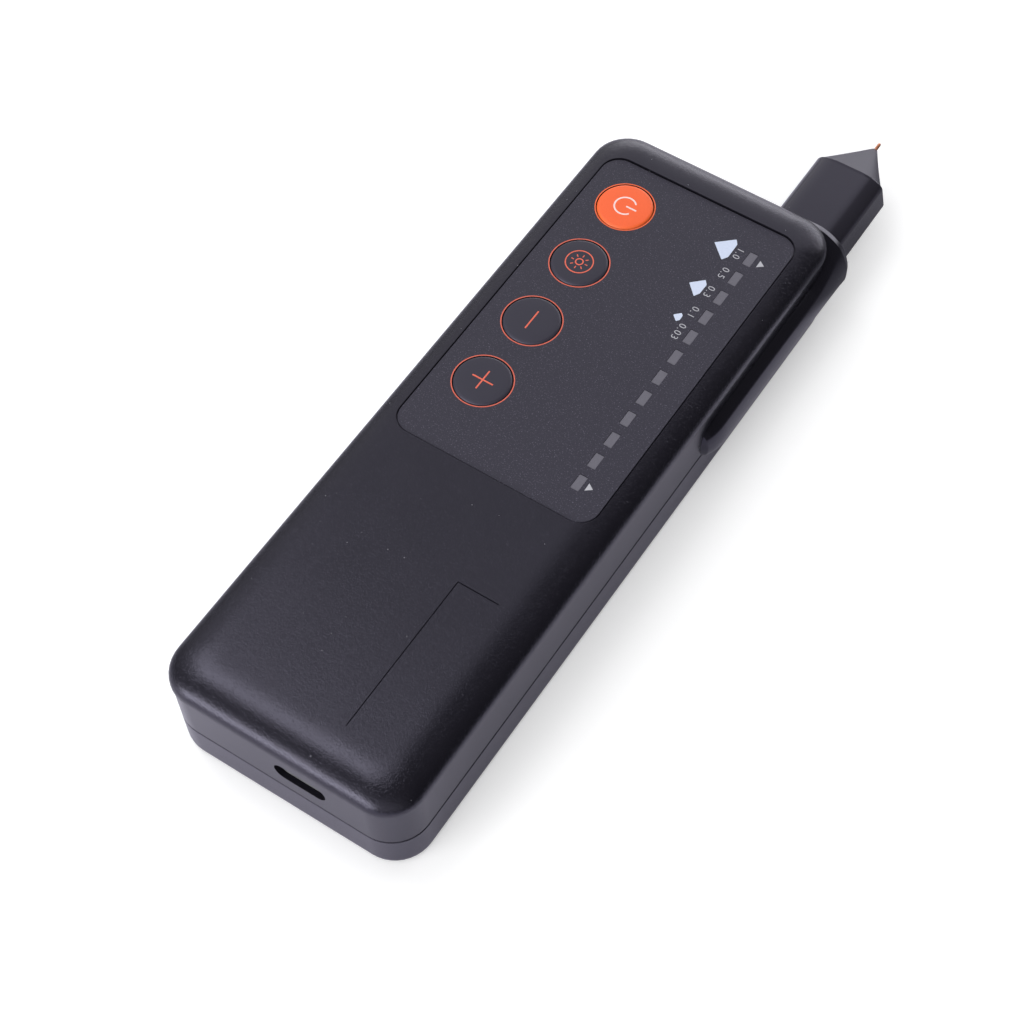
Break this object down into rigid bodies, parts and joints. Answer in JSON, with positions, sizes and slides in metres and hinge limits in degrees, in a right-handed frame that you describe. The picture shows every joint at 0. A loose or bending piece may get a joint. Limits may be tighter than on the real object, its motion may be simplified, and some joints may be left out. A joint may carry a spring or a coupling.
{
  "type": "diamond tester",
  "caption": "Hand-held gem tester: flat rounded two-shell case with a key panel, a row of indicator windows, a tail charging socket and a pointed probe with a sprung needle at one corner.",
  "frame": {"origin": "middle of the case's flat back, which the tester lies on; the probe's collar is left out of that middle", "axes": "+X towards the side that the probe sits on, +Y along the case to the probe's tip, +Z out of the key panel"},
  "size_m": [0.0473, 0.1581, 0.021],
  "materials": {
    "case_top": "fine satin black, with a slightly glossier rounded edge",
    "case_bottom": "fine satin black",
    "panel_film": "finely speckled matte film",
    "key_dark": "matte, with printed orange-red marks",
    "key_orange": "satin orange with a printed pale mark",
    "smoked_guide": "smoked translucent, unlit",
    "sleeve_gloss": "semi-gloss black",
    "nose_satin": "satin dark grey",
    "needle_copper": "bright copper",
    "steel": "plain steel",
    "board": "green solder mask",
    "black_part": "moulded black",
    "lamp_body": "pale cast resin",
    "violet_lens": "clear violet resin",
    "cell_foil": "dull foil pouch",
    "foam": "foam tape",
    "pale_insulator": "pale moulded insulator",
    "lead_red": "red insulation",
    "lead_black": "black insulation"
  },
  "bodies": {
    "case": {"top_housing": "case_top", "bottom_housing": "case_bottom", "panel_overlay": "panel_film", "housing_screw_1": "steel", "housing_screw_2": "steel", "housing_screw_3": "steel", "housing_screw_4": "steel", "switch_body_power": "black_part", "switch_body_uv": "black_part", "switch_body_minus": "black_part", "switch_body_plus": "black_part", "light_guide": "smoked_guide", "light_baffle": "black_part", "led_01": "lamp_body", "led_02": "lamp_body", "led_03": "lamp_body", "led_04": "lamp_body", "led_05": "lamp_body", "led_06": "lamp_body", "led_07": "lamp_body", "led_08": "lamp_body", "led_09": "lamp_body", "led_10": "lamp_body", "led_11": "lamp_body", "led_12": "lamp_body", "main_pcb": "board", "control_chip": "black_part", "charge_chip": "black_part", "charge_coil": "black_part", "amplifier_chip": "black_part", "buzzer": "black_part", "usb_socket_shell": "steel", "usb_socket_tongue": "black_part", "uv_lamp": "violet_lens", "uv_lamp_leg_1": "steel", "uv_lamp_leg_2": "steel", "battery_cell": "cell_foil", "battery_pad": "foam", "battery_plug": "pale_insulator", "battery_lead_red": "lead_red", "battery_lead_black": "lead_black", "probe_sleeve": "sleeve_gloss", "probe_nose": "nose_satin", "probe_carrier": "pale_insulator", "probe_end_plug": "pale_insulator", "probe_spring": "steel", "probe_plug": "pale_insulator", "probe_lead_red": "lead_red", "probe_lead_black": "lead_black"},
    "power_key": {"key_power": "key_orange", "switch_plunger_power": "pale_insulator"},
    "uv_key": {"key_uv": "key_dark", "switch_plunger_uv": "pale_insulator"},
    "minus_key": {"key_minus": "key_dark", "switch_plunger_minus": "pale_insulator"},
    "plus_key": {"key_plus": "key_dark", "switch_plunger_plus": "pale_insulator"},
    "needle": {"probe_needle": "needle_copper", "probe_heater": "pale_insulator"}
  },
  "joints": [
    {"name": "power_key_press", "type": "slide", "parent": "case", "child": "power_key", "axis": [0, 0, -1], "range_m": [0, 0.0004], "stiffness_N_per_m": 400, "springref_m": -0.001},
    {"name": "uv_key_press", "type": "slide", "parent": "case", "child": "uv_key", "axis": [0, 0, -1], "range_m": [0, 0.0004], "stiffness_N_per_m": 400, "springref_m": -0.001},
    {"name": "minus_key_press", "type": "slide", "parent": "case", "child": "minus_key", "axis": [0, 0, -1], "range_m": [0, 0.0004], "stiffness_N_per_m": 400, "springref_m": -0.001},
    {"name": "plus_key_press", "type": "slide", "parent": "case", "child": "plus_key", "axis": [0, 0, -1], "range_m": [0, 0.0004], "stiffness_N_per_m": 400, "springref_m": -0.001},
    {"name": "needle_retract", "type": "slide", "parent": "case", "child": "needle", "axis": [0, -1, 0], "range_m": [0, 0.0012], "stiffness_N_per_m": 300, "springref_m": -0.002, "deforming": ["probe_spring"]}
  ]
}
